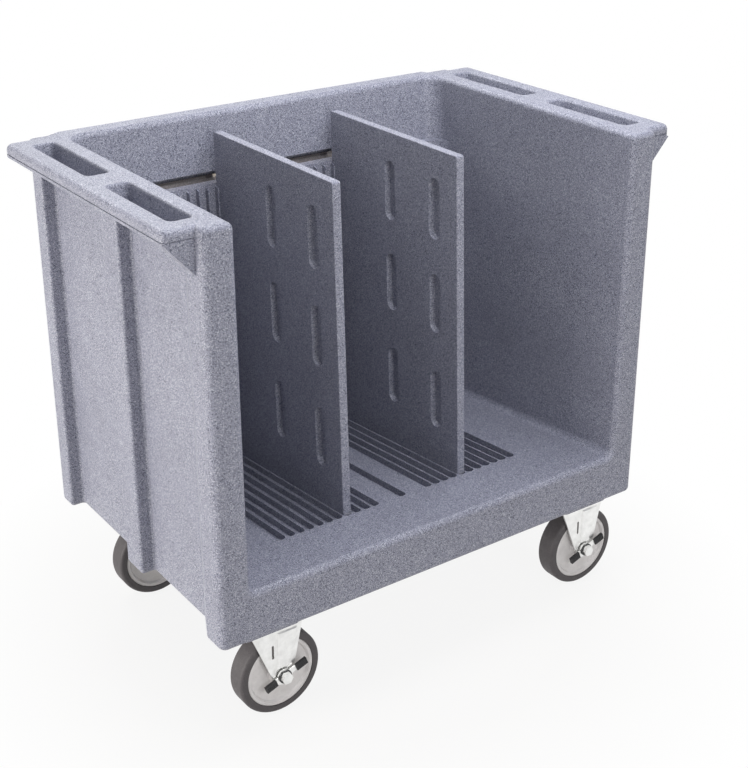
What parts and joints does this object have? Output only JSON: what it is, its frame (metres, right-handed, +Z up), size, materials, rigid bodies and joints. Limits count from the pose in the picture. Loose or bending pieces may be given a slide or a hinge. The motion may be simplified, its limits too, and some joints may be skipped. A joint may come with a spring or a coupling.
{
  "type": "plate dispenser cart",
  "caption": "Open-fronted moulded cart for stacked plates, with lift-out dividers, carrying rims and swivel casters with foot brakes.",
  "frame": {"origin": "on the floor under the middle of the cart", "axes": "+X to the right along the width, +Y towards the closed back wall, +Z up; the open front faces -Y"},
  "size_m": [0.97, 0.59, 0.89],
  "materials": {
    "moulded_body": "speckled slate blue polyethylene, lightly textured",
    "stainless_bar": "brushed stainless steel",
    "insert_steel": "plain steel",
    "zinc_steel": "bright zinc plated",
    "bright_steel": "polished",
    "bushing_plastic": "plain",
    "wheel_core": "light warm grey, satin",
    "tyre": "grey, smooth, non-marking",
    "brake_rubber": "black, ribbed",
    "dark_plastic": "black"
  },
  "bodies": {
    "tub": {"cart_body": "moulded_body", "retaining_bar": "stainless_bar", "caster_inserts": "insert_steel", "caster_bolts": "zinc_steel", "front_left_top_plate": "zinc_steel", "front_left_kingpin": "zinc_steel", "front_right_top_plate": "zinc_steel", "front_right_kingpin": "zinc_steel", "rear_left_top_plate": "zinc_steel", "rear_left_kingpin": "zinc_steel", "rear_right_top_plate": "zinc_steel", "rear_right_kingpin": "zinc_steel"},
    "divider_left": {"divider_left": "moulded_body"},
    "divider_right": {"divider_right": "moulded_body"},
    "front_left_swivel": {"front_left_fork": "zinc_steel", "front_left_race_balls": "bright_steel", "front_left_axle": "zinc_steel", "front_left_axle_nut": "zinc_steel", "front_left_axle_sleeve": "bright_steel"},
    "front_left_wheel": {"front_left_wheel_core": "wheel_core", "front_left_tyre": "tyre", "front_left_bushings": "bushing_plastic"},
    "front_left_brake": {"front_left_brake_lever": "zinc_steel", "front_left_brake_pads": "brake_rubber", "front_left_brake_cam": "dark_plastic"},
    "front_right_swivel": {"front_right_fork": "zinc_steel", "front_right_race_balls": "bright_steel", "front_right_axle": "zinc_steel", "front_right_axle_nut": "zinc_steel", "front_right_axle_sleeve": "bright_steel"},
    "front_right_wheel": {"front_right_wheel_core": "wheel_core", "front_right_tyre": "tyre", "front_right_bushings": "bushing_plastic"},
    "front_right_brake": {"front_right_brake_lever": "zinc_steel", "front_right_brake_pads": "brake_rubber", "front_right_brake_cam": "dark_plastic"},
    "rear_left_swivel": {"rear_left_fork": "zinc_steel", "rear_left_race_balls": "bright_steel", "rear_left_axle": "zinc_steel", "rear_left_axle_nut": "zinc_steel", "rear_left_axle_sleeve": "bright_steel"},
    "rear_left_wheel": {"rear_left_wheel_core": "wheel_core", "rear_left_tyre": "tyre", "rear_left_bushings": "bushing_plastic"},
    "rear_right_swivel": {"rear_right_fork": "zinc_steel", "rear_right_race_balls": "bright_steel", "rear_right_axle": "zinc_steel", "rear_right_axle_nut": "zinc_steel", "rear_right_axle_sleeve": "bright_steel"},
    "rear_right_wheel": {"rear_right_wheel_core": "wheel_core", "rear_right_tyre": "tyre", "rear_right_bushings": "bushing_plastic"}
  },
  "joints": [
    {"name": "divider_left_lift", "type": "slide", "parent": "tub", "child": "divider_left", "axis": [0, 0, 1], "range_m": [0, 0.65]},
    {"name": "divider_right_lift", "type": "slide", "parent": "tub", "child": "divider_right", "axis": [0, 0, 1], "range_m": [0, 0.65]},
    {"name": "front_left_swivel", "type": "hinge", "parent": "tub", "child": "front_left_swivel", "pos_m": [-0.335, -0.218, 0.184], "axis": [0, 0, 1], "continuous": true},
    {"name": "front_left_roll", "type": "hinge", "parent": "front_left_swivel", "child": "front_left_wheel", "pos_m": [-0.297, -0.218, 0.076], "axis": [0, 1, 0], "continuous": true},
    {"name": "front_left_brake_press", "type": "hinge", "parent": "front_left_swivel", "child": "front_left_brake", "pos_m": [-0.297, -0.218, 0.076], "axis": [0, 1, 0], "range_deg": [0, 40]},
    {"name": "front_right_swivel", "type": "hinge", "parent": "tub", "child": "front_right_swivel", "pos_m": [0.335, -0.218, 0.184], "axis": [0, 0, 1], "continuous": true},
    {"name": "front_right_roll", "type": "hinge", "parent": "front_right_swivel", "child": "front_right_wheel", "pos_m": [0.373, -0.218, 0.076], "axis": [0, 1, 0], "continuous": true},
    {"name": "front_right_brake_press", "type": "hinge", "parent": "front_right_swivel", "child": "front_right_brake", "pos_m": [0.373, -0.218, 0.076], "axis": [0, 1, 0], "range_deg": [0, 40]},
    {"name": "rear_left_swivel", "type": "hinge", "parent": "tub", "child": "rear_left_swivel", "pos_m": [-0.335, 0.218, 0.184], "axis": [0, 0, 1], "continuous": true},
    {"name": "rear_left_roll", "type": "hinge", "parent": "rear_left_swivel", "child": "rear_left_wheel", "pos_m": [-0.297, 0.218, 0.076], "axis": [0, 1, 0], "continuous": true},
    {"name": "rear_right_swivel", "type": "hinge", "parent": "tub", "child": "rear_right_swivel", "pos_m": [0.335, 0.218, 0.184], "axis": [0, 0, 1], "continuous": true},
    {"name": "rear_right_roll", "type": "hinge", "parent": "rear_right_swivel", "child": "rear_right_wheel", "pos_m": [0.373, 0.218, 0.076], "axis": [0, 1, 0], "continuous": true}
  ]
}
